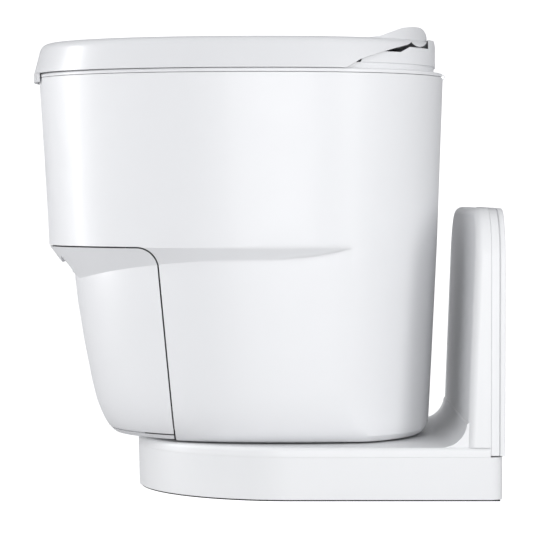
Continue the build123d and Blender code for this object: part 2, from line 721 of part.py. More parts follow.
def make_seal_frame():
    """The deck over the bin and the cage that carries the jaws and rollers."""
    deck = envelope(WALL + FIT_GAP, BODY_TOP) & block(-300, 300, -220, 220, DECK_Z, DECK_Z + DECK_THICK)
    deck -= oval_plate(OUTLET_LONG + 5, OUTLET_WIDE + 5, DECK_Z, DECK_Z + DECK_THICK)
    for side in (-1, 1):
        for x, y in DECK_BOSSES:
            deck -= upright_disc(DECK_SCREW_R + FIT_GAP, x, side * y, DECK_Z, DECK_Z + DECK_THICK)
    x0 = BOWL_X - FRAME_LONG / 2
    x1 = BOWL_X + FRAME_LONG / 2
    cage = block(x0, x1, -CHEEK_HALF, CHEEK_HALF, FRAME_FOOT, DECK_Z)
    cage -= block(x0 + CHEEK_THICK, x1 - CHEEK_THICK, -CHEEK_HALF + CHEEK_THICK, CHEEK_HALF - CHEEK_THICK,
                  FRAME_FOOT, DECK_Z)
    cage -= block(x0, x1, -CAGE_WINDOW, CAGE_WINDOW, FRAME_FOOT + 6, DECK_Z - 8)
    for y in (-ROD_Y, ROD_Y):
        cage -= long_bar(ROD_R + RUN_GAP, y, ROD_Z, x0, x1)
    cage -= long_bar(ROD_R + RUN_GAP, ROD_Y, SCREW_Z, x0, x1)
    for x in roller_lines():
        cage -= cross_bar(JOURNAL_R + RUN_GAP, x, ROLLER_Z, -CHEEK_HALF, CHEEK_HALF)
    return deck + cage


def roller_lines():
    """The X places of the two roller axes, either side of the film."""
    reach = FILM_HALF + FILM_CLEAR + ROLLER_R
    return (BOWL_X - reach, BOWL_X + reach)


def make_rods():
    """The two guide rods of the jaws."""
    x0 = BOWL_X - FRAME_LONG / 2
    rod = long_bar(ROD_R, ROD_Y, ROD_Z, x0, x0 + FRAME_LONG)
    return Compound(mirrored([rod]))


def make_jaw_screw():
    """The screw that draws both jaws together."""
    x0 = BOWL_X - FRAME_LONG / 2
    return long_bar(ROD_R, ROD_Y, SCREW_Z, x0, x0 + FRAME_LONG)


def make_jaw(side):
    """One sealing jaw with its bores and screw lug; side is -1 at the front."""
    face = BOWL_X + side * (JAW_REST_GAP + PAD_THICK)
    x0, x1 = sorted((face, face + side * JAW_THICK))
    jaw = block(x0, x1, -JAW_HALF, JAW_HALF, JAW_LOW, JAW_HIGH)
    jaw = chamfer(jaw.edges().filter_by(Axis.Y), 2.0)
    jaw += block(x0, x1, ROD_Y - 9, JAW_HALF, JAW_LOW + 4, SCREW_Z + 7)
    for y in (-ROD_Y, ROD_Y):
        jaw -= long_bar(ROD_R + RUN_GAP, y, ROD_Z, x0, x1)
    return jaw - long_bar(ROD_R + RUN_GAP, ROD_Y, SCREW_Z, x0, x1)


def make_jaw_pad(side):
    """The heater strip or silicone pad on a jaw's face."""
    face = BOWL_X + side * JAW_REST_GAP
    x0, x1 = sorted((face, face + side * PAD_THICK))
    middle = (JAW_LOW + JAW_HIGH) / 2
    return block(x0, x1, -PAD_HALF, PAD_HALF, middle - 4, middle + 4)


def make_roller(x):
    """One film roller with its grooves and journals."""
    roller = cross_bar(ROLLER_R, x, ROLLER_Z, -ROLLER_HALF, ROLLER_HALF)
    for y in range(-ROLLER_GROOVES, ROLLER_GROOVES + 1):
        middle = y * GROOVE_PITCH
        ring = cross_bar(ROLLER_R + 1, x, ROLLER_Z, middle - 1, middle + 1)
        roller -= ring - cross_bar(ROLLER_R - 0.8, x, ROLLER_Z, middle - 1, middle + 1)
    return roller + cross_bar(JOURNAL_R, x, ROLLER_Z, -CHEEK_HALF, CHEEK_HALF)


def make_jaw_motor():
    """The motor behind the cage that turns the jaw screw."""
    x0 = BOWL_X + FRAME_LONG / 2
    motor = long_bar(MOTOR_R, ROD_Y, SCREW_Z, x0 + 0.1, x0 + MOTOR_LONG)
    return motor + long_bar(MOTOR_R - 5, ROD_Y, SCREW_Z, x0 + MOTOR_LONG, x0 + MOTOR_LONG + 6)


def make_roller_motor():
    """The small motor beside the cage that drives the rear roller."""
    x = roller_lines()[1]
    motor = cross_bar(FEED_MOTOR_R, x, ROLLER_Z, CHEEK_HALF + 0.1, CHEEK_HALF + 34)
    return motor + cross_bar(FEED_MOTOR_R - 4, x, ROLLER_Z, CHEEK_HALF + 34, CHEEK_HALF + 39)


def make_control_box():
    """The control box on the rear of the deck."""
    top = DECK_Z + DECK_THICK
    body = block(CONTROL_X0, CONTROL_X1, -CONTROL_HALF, CONTROL_HALF, top, top + CONTROL_HIGH)
    return fillet(body.edges().filter_by(Axis.Z) + body.faces().sort_by(Axis.Z)[-1].edges(), 4.0)


def make_deck_screws():
    """The screws that hold the deck to the housing's bosses."""
    screws = []
    top = DECK_Z + DECK_THICK
    for x, y in DECK_BOSSES:
        shank = upright_disc(DECK_SCREW_R - RUN_GAP, x, y, DECK_Z - BOSS_DEEP + 4, top)
        screws.append(shank + upright_disc(DECK_SCREW_R + 2.2, x, y, top, top + 2.4))
    return Compound(mirrored(screws))


def rim_plate(inset, z0, z1):
    """A plate of the rim's outline between two heights."""
    return plate(outline(RIM_FRONT, RIM_SIDE, RIM_REAR, z0, inset), z1 - z0)


def make_top_ring():
    """The frame ring that closes the housing and carries the seat and console."""
    ring = rim_plate(0.0, RING_LOW, FLANGE_TOP)
    ring = fillet(ring.faces().sort_by(Axis.Z)[-1].edges(), 1.5)
    ring += rim_plate(RING_INSET, RING_LOW, DECK_TOP)
    ring -= rim_plate(RING_INSET + 6.0, RING_LOW, DECK_TOP - RING_WALL)
    ring += oval_plate(RING_OPEN_LONG + 4, RING_OPEN_WIDE + 4, RING_LOW + 2.5, DECK_TOP)
    ring -= oval_plate(RING_OPEN_LONG, RING_OPEN_WIDE, RING_LOW, DECK_TOP)
    flat = BODY_KNUCKLE[1] + 4
    ring -= block(FRAME_AXIS_X - 0.1, RIM_REAR + 5, -flat, flat, RING_LOW - 1, FLANGE_TOP + 1)
    for side in (-1, 1):
        y0, y1 = sorted((side * RING_KNUCKLE[0], side * RING_KNUCKLE[1]))
        ring += cross_bar(KNUCKLE_R, FRAME_AXIS_X, FRAME_AXIS_Z, y0, y1)
        y0, y1 = sorted((side * (BODY_KNUCKLE[0] - KNUCKLE_CLEAR), side * (BODY_KNUCKLE[1] + KNUCKLE_CLEAR)))
        ring -= cross_bar(KNUCKLE_R + KNUCKLE_CLEAR, FRAME_AXIS_X, FRAME_AXIS_Z, y0, y1)
        y0, y1 = sorted((side * FRAME_PIN_SPAN[0], side * FRAME_PIN_SPAN[1]))
        ring -= cross_bar(FRAME_PIN_R + RUN_GAP, FRAME_AXIS_X, FRAME_AXIS_Z, y0, y1)
    return ring


def make_seat():
    """The seat: a rounded ring with a straight rear edge."""
    seat = rim_plate(SEAT_INSET, SEAT_LOW, SEAT_TOP) & block(-300, SEAT_REAR, -220, 220, SEAT_LOW, SEAT_TOP)
    corners = seat.edges().filter_by(lambda e: abs(e.tangent_at(0.5).Z) > 0.9).group_by(Axis.X)[-1]
    seat = fillet(corners, SEAT_CORNER)
    seat = fillet(seat.faces().sort_by(Axis.Z)[-1].edges(), SEAT_ROUND)
    hole = oval_plate(SEAT_OPEN_LONG, SEAT_OPEN_WIDE, SEAT_LOW, SEAT_TOP, SEAT_X)
    seat -= hole
    return seat


def buffers(spots, radius, z0, z1):
    """Round rubber feet at the given places and their mirror places."""
    return Compound(mirrored([upright_disc(radius, x, y, z0, z1) for x, y in spots]))


def console_side(drop, inset):
    """The console's side view: a shelf for the panel and a raised rear wall."""
    return [
        (CONSOLE_FRONT + inset, DECK_TOP),
        (CONSOLE_FRONT + 5 + inset, CONSOLE_SHELF - 3 - drop),
        (CONSOLE_FRONT + 9 + inset, CONSOLE_SHELF - drop),
        (CONSOLE_FRONT + 44 - inset, CONSOLE_SHELF - drop),
        (CONSOLE_FRONT + 54 - inset, CONSOLE_BACK - drop),
        (CONSOLE_CREST_X, CONSOLE_BACK - drop),
        (CONSOLE_CREST_X, CONSOLE_CREST - drop),
        (CONSOLE_CREST_X + 8 - inset, CONSOLE_CREST - drop),
        (CONSOLE_REAR - inset, CONSOLE_BACK + 1 - drop),
        (CONSOLE_REAR - inset, DECK_TOP),
    ]


def make_console():
    """The console behind the seat, with the middle knuckle of the lid's hinge."""
    form = rim_plate(RIM_REAR - CONSOLE_REAR, DECK_TOP, CONSOLE_CREST)
    console = side_prism(console_side(0.0, 0.0), 220.0) & form
    hollow = block(CONSOLE_FRONT + 10, CONSOLE_FRONT + 42, -CONSOLE_HOLLOW, CONSOLE_HOLLOW,
                   DECK_TOP, CONSOLE_SHELF - CONSOLE_WALL)
    console -= hollow
    clear = LID_BARREL_R + LID_CLEAR
    for side in (-1, 1):
        y0, y1 = sorted((side * LID_KNUCKLE_HALF, side * 200.0))
        console -= cross_bar(clear, LID_AXIS_X, LID_AXIS_Z, y0, y1)
    console += cross_bar(LID_BARREL_R - 1.0, LID_AXIS_X, LID_AXIS_Z, -LID_KNUCKLE_HALF, LID_KNUCKLE_HALF)
    console += block(LID_AXIS_X - 8, LID_AXIS_X + 8, -LID_KNUCKLE_HALF, LID_KNUCKLE_HALF,
                     CONSOLE_BACK - 4, LID_AXIS_Z - 4)
    console -= cross_bar(LID_PIN_R + RUN_GAP, LID_AXIS_X, LID_AXIS_Z, -LID_KNUCKLE_HALF, LID_KNUCKLE_HALF)
    console -= panel_form(FIT_GAP, CONSOLE_SHELF - PANEL_THICK)
    console -= upright_disc(BUTTON_R + SEAT_GAP, PANEL_X, BUTTON_Y, DECK_TOP, CONSOLE_SHELF)
    console -= upright_disc(WINDOW_R + RUN_GAP, PANEL_X, -BUTTON_Y, DECK_TOP, CONSOLE_SHELF)
    return console


def panel_form(grow, low):
    """The rounded plan of the key panel, made into a plate."""
    x0 = PANEL_X - PANEL_LONG / 2 - grow
    x1 = PANEL_X + PANEL_LONG / 2 + grow
    return rounded_box(x0, x1, PANEL_HALF + grow, low, CONSOLE_SHELF, 6.0)


def make_panel():
    """The key panel let into the console's shelf."""
    panel = panel_form(0.0, CONSOLE_SHELF - PANEL_THICK)
    panel -= upright_disc(BUTTON_R + SEAT_GAP, PANEL_X, BUTTON_Y, DECK_TOP, CONSOLE_SHELF)
    return panel - upright_disc(WINDOW_R + RUN_GAP, PANEL_X, -BUTTON_Y, DECK_TOP, CONSOLE_SHELF)


def make_window():
    """The clear light window beside the key."""
    return upright_disc(WINDOW_R, PANEL_X, -BUTTON_Y, BOARD_TOP, CONSOLE_SHELF + 0.4)


def make_board():
    """The switch board under the key, on two pillars."""
    low = BOARD_TOP - 1.6
    board = block(CONSOLE_FRONT + 12, CONSOLE_FRONT + 40, -46, 46, low, BOARD_TOP)
    for side in (-1, 1):
        board += upright_disc(3.0, CONSOLE_FRONT + 26, side * 36, DECK_TOP, low)
    return board


def make_button():
    """The start key, which is pressed down into the panel."""
    top = CONSOLE_SHELF + BUTTON_PROUD
    key = upright_disc(BUTTON_R, PANEL_X, BUTTON_Y, top - BUTTON_DEEP, top)
    key = fillet(key.faces().sort_by(Axis.Z)[-1].edges(), 1.2)
    return key - Pos(PANEL_X, BUTTON_Y, top + 30.0 - 0.7) * Sphere(30.0)


def lid_form(inset, top):
    """The lid's leaning wall between its lower edge and a given top."""
    lean = LID_LEAN * (top - LID_LOW) / (LID_TOP - LID_LOW)
    low = outline(LID_FRONT, LID_SIDE, LID_REAR, LID_LOW, inset)
    high = outline(LID_FRONT, LID_SIDE, LID_REAR, top, inset + lean)
    return loft([low, high], ruled=True)


def make_lid():
    """The lid: a shallow shell with a pull lip, a raised tail and the outer hinge knuckles."""
    lid = lid_form(0.0, LID_TOP)
    lid = fillet(lid.faces().sort_by(Axis.Z)[-1].edges(), LID_ROUND)
    crest = LID_AXIS_Z + LID_BARREL_R
    hump = side_prism([
        (HUMP_X, LID_TOP - 6),
        (HUMP_X, LID_TOP - 0.4),
        (HUMP_X + 14, LID_TOP + 2.2),
        (HUMP_X + 38, crest - 2.2),
        (LID_AXIS_X - 6, crest),
        (LID_AXIS_X, crest),
        (LID_AXIS_X, LID_TOP - 6),
    ], 220.0)
    tail = rim_plate(LID_LEAN + 5.0, LID_TOP - 6, crest)
    hump &= tail
    lid += hump
    barrel = cross_bar(LID_BARREL_R, LID_AXIS_X, LID_AXIS_Z, -200, 200)
    under = side_prism([
        (LID_CUT_X, LID_LOW - 5),
        (LID_CUT_X, LID_LOW),
        (LID_CUT_X + 15, LID_LOW + 9.1),
        (LID_CUT_X + 43, LID_LOW + 19.1),
        (LID_CUT_X + 67, LID_LOW + 26.8),
        (LID_AXIS_X, LID_AXIS_Z),
        (LID_AXIS_X, LID_LOW - 5),
    ], 220.0)
    behind = block(LID_AXIS_X, 260, -220, 220, LID_LOW - 5, crest + 10)
    lid = lid + (barrel & tail)
    lid -= (under + behind) - barrel
    hollow = lid_form(LID_WALL, LID_TOP - LID_WALL) & block(-300, LID_SOLID_X, -220, 220, LID_LOW, LID_TOP)
    lid -= hollow
    lip = plate(outline(LID_FRONT, LID_SIDE, LID_REAR, LIP_LOW), LID_LOW - LIP_LOW)
    lip -= plate(outline(LID_FRONT, LID_SIDE, LID_REAR, LIP_LOW, LIP_THICK), LID_LOW - LIP_LOW)
    lid += lip & block(-300, -200, -LIP_HALF, LIP_HALF, LIP_LOW, LID_LOW)
    notch = LID_KNUCKLE_HALF + SEAT_GAP
    lid -= block(LID_AXIS_X - LID_BARREL_R - 1.5, 200, -notch, notch, LID_LOW, crest + 5)
    return lid - cross_bar(LID_PIN_R + RUN_GAP, LID_AXIS_X, LID_AXIS_Z, -LID_PIN_HALF, LID_PIN_HALF)


def make_lid_pin():
    """The pin of the lid's hinge."""
    return cross_bar(LID_PIN_R, LID_AXIS_X, LID_AXIS_Z, -LID_PIN_HALF, LID_PIN_HALF)


def make_liner():
    """The flat liner inside the lid."""
    top = LID_TOP - LID_WALL
    liner = plate(outline(LID_FRONT, LID_SIDE, LID_REAR, top - LINER_THICK, LINER_INSET), LINER_THICK)
    return liner & block(-300, LINER_REAR, -220, 220, LID_LOW, LID_TOP)


def main():
    """Build every piece once and write it."""
    outer = housing(0.0, BODY_TOP)
    save(make_floor_mat(), "floor_mat")
    save(make_base_box(), "base_box")
    save(make_base_cover(), "base_cover")
    save(make_spacer(), "upright_spacer")
    save(make_wall_plate(), "wall_plate")
    save(make_power_inlet(), "power_inlet")
    save(make_slide_ring(), "slide_ring")
    save(make_hub_post(), "hub_post")
    save(make_hub_nut(), "hub_nut")
    save(make_chassis_pan(), "chassis_pan")
    save(make_body_shell(outer), "body_shell")
    save(make_frame_pins(), "frame_hinge_pins")
    save(make_rails(), "drawer_rails")
    save(make_funnel(), "funnel")
    save(make_cartridge(), "film_cartridge")
    save(make_film(), "film_sleeve")
    save(make_seal_frame(), "seal_frame")
    save(make_rods(), "guide_rods")
    save(make_jaw_screw(), "jaw_screw")
    save(make_jaw_motor(), "jaw_motor")
    save(make_roller_motor(), "roller_motor")
    save(make_control_box(), "control_box")
    save(make_deck_screws(), "deck_screws")
    save(make_door(outer), "front_door")
    save(make_tray(outer), "drawer_tray")
    save(make_bin(), "waste_bin")
    save(make_jaw(-1), "jaw_front")
    save(make_jaw_pad(-1), "heater_strip")
    save(make_jaw(1), "jaw_rear")
    save(make_jaw_pad(1), "silicone_pad")
    save(make_roller(roller_lines()[0]), "roller_front")
    save(make_roller(roller_lines()[1]), "roller_rear")
    save(make_top_ring(), "top_ring")
    save(make_seat(), "seat")
    save(buffers(SEAT_FEET, 8.0, DECK_TOP, SEAT_LOW), "seat_buffers")
    save(make_console(), "console_housing")
    save(make_panel(), "console_panel")
    save(make_window(), "status_window")
    save(make_board(), "switch_board")
    save(make_button(), "start_button")
    save(make_lid_pin(), "lid_hinge_pin")
    save(make_lid(), "lid_shell")
    save(make_liner(), "lid_liner")
    low = LID_TOP - LID_WALL - LINER_THICK
    save(buffers(LID_FEET, 6.0, SEAT_TOP + SEAT_GAP, low), "lid_buffers")


main()
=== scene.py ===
import json
import math
import bmesh
import bpy
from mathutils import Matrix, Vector

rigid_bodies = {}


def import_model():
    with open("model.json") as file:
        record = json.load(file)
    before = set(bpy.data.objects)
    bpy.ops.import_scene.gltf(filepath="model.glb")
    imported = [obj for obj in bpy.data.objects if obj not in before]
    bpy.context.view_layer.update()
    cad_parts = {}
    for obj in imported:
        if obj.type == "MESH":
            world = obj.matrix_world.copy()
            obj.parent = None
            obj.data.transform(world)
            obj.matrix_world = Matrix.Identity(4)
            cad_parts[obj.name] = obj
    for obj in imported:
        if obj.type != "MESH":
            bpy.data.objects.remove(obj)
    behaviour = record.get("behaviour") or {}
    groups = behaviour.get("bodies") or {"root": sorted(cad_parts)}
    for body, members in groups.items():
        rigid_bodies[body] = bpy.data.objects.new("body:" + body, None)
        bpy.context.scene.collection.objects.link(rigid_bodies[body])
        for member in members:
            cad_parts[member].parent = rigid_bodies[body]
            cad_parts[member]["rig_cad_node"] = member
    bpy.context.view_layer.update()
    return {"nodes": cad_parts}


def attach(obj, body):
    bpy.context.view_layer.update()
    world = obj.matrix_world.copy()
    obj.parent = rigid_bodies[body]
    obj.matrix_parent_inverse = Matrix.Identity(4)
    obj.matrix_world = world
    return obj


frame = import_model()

# A sealing toilet on its floor and wall adapter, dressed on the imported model.
# Metres, +Z up, -X is the front and +X the wall side, seen in the photograph from -Y.

nodes = frame["nodes"]


# Studio values: name, place, target, width, height and power of each soft light
LAMPS = [
    ("strip_left", (-2.45, 0.30, 0.75), (-0.1, 0.0, 0.30), 0.5, 1.6, 31.0),
    ("strip_right", (1.75, -1.80, 0.75), (0.0, 0.0, 0.30), 0.6, 1.6, 14.0),
    ("front_fill", (-0.5, -3.3, 1.0), (0.0, 0.0, 0.25), 2.0, 1.6, 8.0),
    ("top_soft", (-0.1, -0.4, 2.4), (0.0, 0.0, 0.3), 1.6, 1.6, 1.0),
    ("low_front", (0.2, -2.9, 0.25), (0.0, 0.0, 0.20), 1.8, 0.5, 23.0),
]
SKY = 0.63
PAPER_GLOW = 0.85


# Finish values
DRIFT_SCALE = 7.0
DRIFT_DETAIL = 5.0
SMEAR_SCALE = 34.0
SMEAR_DETAIL = 6.0
SMEAR_ROUGHNESS = 0.62
GRAIN_DETAIL = 3.0
BUMP_STRENGTH = 0.6
COAT_ROUGHNESS = 0.12

# Joining and easing of the housing's faces
JOIN_DISTANCE = 0.00001
SMOOTH_ANGLE = 24.0
EDGE_EASE = 0.0006
SHOULDER_EASE = 0.009
SHOULDER_X = (-0.10, 0.04)
SHOULDER_Z = (0.225, 0.269)

# Backdrop and camera
PAPER_REACH = 9.0
PAPER_STEPS = 12
PAPER_BEND_Y = 3.2
PAPER_BEND_R = 1.2
PAPER_TOP = 7.0
LENS_MM = 179.8
SENSOR_MM = 36.0
CLIP_END = 60.0
CAMERA_PLACE = (0.0, -2.95, 0.321)
CAMERA_TARGET = (0.0, 0.0, 0.2396)


# Small makers

def node_input(shader, name, value):
    """Set a socket by name."""
    shader.inputs[name].default_value = value


def tone_spread(colour, share):
    """Two colours a little below and above the given one."""
    low = tuple(channel * (1.0 - share) for channel in colour) + (1.0,)
    high = tuple(min(1.0, channel * (1.0 + share)) for channel in colour) + (1.0,)
    return low, high


def moulded(name, colour, rough, grain=900.0, grain_depth=0.00002, spread=0.02, rough_spread=0.05,
            coat=0.0, bevel=0.0, metallic=0.0, brushed=None):
    """A moulded or machined finish: colour drift, uneven gloss, fine surface grain and eased edges."""
    made = bpy.data.materials.new(name)
    made.use_nodes = True
    tree = made.node_tree
    shader = tree.nodes["Principled BSDF"]
    coords = tree.nodes.new("ShaderNodeTexCoord")
    place = tree.nodes.new("ShaderNodeMapping")
    if brushed:
        node_input(place, "Scale", brushed)
    tree.links.new(coords.outputs["Object"], place.inputs["Vector"])
    drift = tree.nodes.new("ShaderNodeTexNoise")
    node_input(drift, "Scale", DRIFT_SCALE)
    node_input(drift, "Detail", DRIFT_DETAIL)
    tree.links.new(coords.outputs["Object"], drift.inputs["Vector"])
    tint = tree.nodes.new("ShaderNodeMix")
    tint.data_type = "RGBA"
    low, high = tone_spread(colour, spread)
    tint.inputs[6].default_value = low
    tint.inputs[7].default_value = high
    tree.links.new(drift.outputs["Fac"], tint.inputs[0])
    tree.links.new(tint.outputs[2], shader.inputs["Base Color"])
    smear = tree.nodes.new("ShaderNodeTexNoise")
    node_input(smear, "Scale", SMEAR_SCALE)
    node_input(smear, "Detail", SMEAR_DETAIL)
    node_input(smear, "Roughness", SMEAR_ROUGHNESS)
    tree.links.new(place.outputs["Vector"], smear.inputs["Vector"])
    gloss = tree.nodes.new("ShaderNodeMapRange")
    node_input(gloss, "To Min", max(0.02, rough - rough_spread))
    node_input(gloss, "To Max", min(1.0, rough + rough_spread))
    tree.links.new(smear.outputs["Fac"], gloss.inputs["Value"])
    tree.links.new(gloss.outputs["Result"], shader.inputs["Roughness"])
    fine = tree.nodes.new("ShaderNodeTexNoise")
    node_input(fine, "Scale", grain)
    node_input(fine, "Detail", GRAIN_DETAIL)
    tree.links.new(place.outputs["Vector"], fine.inputs["Vector"])
    bump = tree.nodes.new("ShaderNodeBump")
    node_input(bump, "Strength", BUMP_STRENGTH)
    node_input(bump, "Distance", grain_depth)
    tree.links.new(fine.outputs["Fac"], bump.inputs["Height"])
    if bevel > 0.0:
        ease = tree.nodes.new("ShaderNodeBevel")
        ease.samples = 4
        node_input(ease, "Radius", bevel)
        tree.links.new(ease.outputs["Normal"], bump.inputs["Normal"])
    tree.links.new(bump.outputs["Normal"], shader.inputs["Normal"])
    node_input(shader, "Metallic", metallic)
    if coat > 0.0:
        node_input(shader, "Coat Weight", coat)
        node_input(shader, "Coat Roughness", COAT_ROUGHNESS)
    return made


def soften_shoulder(finish, small, wide, front, rear, low, high):
    """Ease the shoulder's edge ever wider towards the rear, between two heights."""
    tree = finish.node_tree
    ease = next(node for node in tree.nodes if node.bl_idname == "ShaderNodeBevel")
    coords = tree.nodes.new("ShaderNodeTexCoord")
    split = tree.nodes.new("ShaderNodeSeparateXYZ")
    tree.links.new(coords.outputs["Object"], split.inputs["Vector"])
    grow = tree.nodes.new("ShaderNodeMapRange")
    node_input(grow, "From Min", front)
    node_input(grow, "From Max", rear)
    node_input(grow, "To Min", 0.0)
    node_input(grow, "To Max", wide)
    tree.links.new(split.outputs["X"], grow.inputs["Value"])
    near = tree.nodes.new("ShaderNodeMath")
    near.operation = "COMPARE"
    near.inputs[1].default_value = (low + high) / 2
    near.inputs[2].default_value = (high - low) / 2
    tree.links.new(split.outputs["Z"], near.inputs[0])
    gate = tree.nodes.new("ShaderNodeMath")
    gate.operation = "MULTIPLY"
    tree.links.new(grow.outputs["Result"], gate.inputs[0])
    tree.links.new(near.outputs["Value"], gate.inputs[1])
    total = tree.nodes.new("ShaderNodeMath")
    total.operation = "ADD"
    total.inputs[1].default_value = small
    tree.links.new(gate.outputs["Value"], total.inputs[0])
    tree.links.new(total.outputs["Value"], ease.inputs["Radius"])


def clear_finish(name, colour, rough, alpha, grain=300.0, crease=0.0002):
    """A thin clear or milky plastic with fine creases."""
    made = moulded(name, colour, rough, grain=grain, grain_depth=crease, spread=0.03)
    shader = made.node_tree.nodes["Principled BSDF"]
    node_input(shader, "Alpha", alpha)
    return made


def soft_normals(angle):
    """A modifier group that joins the tessellated faces and shades them smooth below an angle."""
    group = bpy.data.node_groups.new("smooth_joined", "GeometryNodeTree")
    group.interface.new_socket("Geometry", in_out="INPUT", socket_type="NodeSocketGeometry")
    group.interface.new_socket("Geometry", in_out="OUTPUT", socket_type="NodeSocketGeometry")
    start = group.nodes.new("NodeGroupInput")
    end = group.nodes.new("NodeGroupOutput")
    strip = group.nodes.new("GeometryNodeRemoveAttribute")
    node_input(strip, "Name", "custom_normal")
    join = group.nodes.new("GeometryNodeMergeByDistance")
    node_input(join, "Distance", JOIN_DISTANCE)
    smooth = group.nodes.new("GeometryNodeSetShadeSmooth")
    smooth.domain = "FACE"
    node_input(smooth, "Shade Smooth", True)
    bend = group.nodes.new("GeometryNodeInputMeshEdgeAngle")
    sharp = group.nodes.new("FunctionNodeCompare")
    sharp.data_type = "FLOAT"
    sharp.operation = "GREATER_THAN"
    sharp.inputs[1].default_value = math.radians(angle)
    crisp = group.nodes.new("GeometryNodeSetShadeSmooth")
    crisp.domain = "EDGE"
    node_input(crisp, "Shade Smooth", False)
    group.links.new(start.outputs[0], strip.inputs["Geometry"])
    group.links.new(strip.outputs["Geometry"], join.inputs["Geometry"])
    group.links.new(join.outputs["Geometry"], smooth.inputs["Geometry"])
    group.links.new(smooth.outputs["Geometry"], crisp.inputs["Geometry"])
    group.links.new(bend.outputs["Unsigned Angle"], sharp.inputs[0])
    group.links.new(sharp.outputs["Result"], crisp.inputs["Selection"])
    group.links.new(crisp.outputs["Geometry"], end.inputs[0])
    return group


def apply_group(thing, group):
    """Put a node group on a piece as a modifier."""
    step = thing.modifiers.new("smooth_joined", "NODES")
    step.node_group = group


def dress(names, finish):
    """Give these CAD nodes a finish."""
    for name in names:
        mesh = nodes[name].data
        mesh.materials.clear()
        mesh.materials.append(finish)


# Finishes

shell_white = moulded("shell_white", (0.80, 0.805, 0.82), 0.42, grain=1400.0, grain_depth=0.000012,
                      spread=0.012, rough_spread=0.04, coat=0.06, bevel=0.0006)
base_white = moulded("base_white", (0.80, 0.805, 0.815), 0.40, grain=1100.0, grain_depth=0.00002,
                     spread=0.012, rough_spread=0.05, bevel=0.0006)
# The lid is the same white plastic as the shell. Its colour is set darker as painted shade, so the lid
# looks as dim as it does under the studio lights.
lid_white_shaded = moulded("lid_white_shaded", (0.735, 0.74, 0.755), 0.32, grain=1500.0, grain_depth=0.00001,
                    spread=0.012, rough_spread=0.04, coat=0.15, bevel=0.0005)
seat_white = moulded("seat_white", (0.78, 0.785, 0.79), 0.30, grain=1200.0, grain_depth=0.000012,
                     spread=0.015, coat=0.1, bevel=0.0006)
inner_grey = moulded("inner_grey", (0.30, 0.31, 0.325), 0.48, grain=800.0, grain_depth=0.00004,
                     spread=0.05, bevel=0.0005)
bin_grey = moulded("bin_grey", (0.19, 0.20, 0.215), 0.5, grain=700.0, grain_depth=0.00005,
                   spread=0.06, bevel=0.0005)
dark_plastic = moulded("dark_plastic", (0.022, 0.023, 0.025), 0.42, grain=900.0, grain_depth=0.00004,
                       spread=0.15, bevel=0.0004)
rubber_black = moulded("rubber_black", (0.03, 0.03, 0.032), 0.72, grain=1200.0, grain_depth=0.00006,
                       spread=0.12, rough_spread=0.08)
nylon_cream = moulded("nylon_cream", (0.62, 0.60, 0.55), 0.38, grain=900.0, spread=0.03)
steel_zinc = moulded("steel_zinc", (0.58, 0.59, 0.60), 0.28, grain=500.0, grain_depth=0.00001,
                     spread=0.06, metallic=1.0, brushed=(1.0, 6.0, 6.0))
aluminium = moulded("aluminium", (0.72, 0.73, 0.74), 0.33, grain=500.0, grain_depth=0.00001,
                    spread=0.05, metallic=1.0, brushed=(8.0, 1.0, 8.0))
film_milky = clear_finish("film_milky", (0.78, 0.80, 0.82), 0.22, 0.62)
heater_brown = moulded("heater_brown", (0.30, 0.16, 0.07), 0.35, grain=1500.0, spread=0.12)
silicone_red = moulded("silicone_red", (0.36, 0.07, 0.05), 0.55, grain=900.0, spread=0.08)
lens_clear = clear_finish("lens_clear", (0.55, 0.75, 0.62), 0.12, 0.7, grain=120.0, crease=0.00001)
board_green = moulded("board_green", (0.03, 0.16, 0.08), 0.4, grain=700.0, spread=0.15)

housing_white = moulded("housing_white", (0.80, 0.805, 0.82), 0.42, grain=1400.0, grain_depth=0.000012,
                        spread=0.012, rough_spread=0.04, coat=0.06, bevel=0.0006)
soften_shoulder(housing_white, EDGE_EASE, SHOULDER_EASE, *SHOULDER_X, *SHOULDER_Z)

dress(["body_shell"], housing_white)
dress(["front_door", "drawer_tray", "top_ring", "console_housing"], shell_white)
dress(["lid_shell", "lid_liner"], lid_white_shaded)
dress(["base_box", "base_cover", "upright_spacer", "wall_plate"], base_white)
dress(["seat", "funnel", "start_button"], seat_white)
dress(["chassis_pan", "console_panel", "seal_frame", "film_cartridge"], inner_grey)
dress(["waste_bin"], bin_grey)
dress(["control_box", "jaw_motor", "roller_motor", "power_inlet"], dark_plastic)
dress(["floor_mat", "lid_buffers", "seat_buffers", "roller_front", "roller_rear"], rubber_black)
dress(["slide_ring"], nylon_cream)
dress(["hub_post", "hub_nut", "frame_hinge_pins", "guide_rods", "jaw_screw", "lid_hinge_pin",
       "deck_screws", "drawer_rails"], steel_zinc)
dress(["jaw_front", "jaw_rear"], aluminium)
dress(["film_sleeve"], film_milky)
dress(["heater_strip"], heater_brown)
dress(["silicone_pad"], silicone_red)
dress(["status_window"], lens_clear)
dress(["switch_board"], board_green)

smooth_group = soft_normals(SMOOTH_ANGLE)
for name in ["body_shell", "front_door", "drawer_tray", "lid_shell", "top_ring", "seat", "funnel",
             "base_box", "base_cover"]:
    apply_group(nodes[name], smooth_group)


# Pieces that only the scene has

PLEATS = 84
PLEAT_STEPS = 6
BOWL_X = -0.072
PLEAT_LONG = 0.132
PLEAT_WIDE = 0.107
PLEAT_BAND = 0.0072
PLEAT_FOOT = 0.4410
PLEAT_HIGH = 0.0032
BAND_POINTS = 12
KEY_PLACE = (0.124, -0.028, 0.47194)
MARK_R = 0.0030
MARK_THICK = 0.00028


def add_piece(name, data, finish, body):
    """Link new data as a piece that rides on a body."""
    data.materials.append(finish)
    piece = bpy.data.objects.new(name, data)
    bpy.context.scene.collection.objects.link(piece)
    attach(piece, body)
    return piece


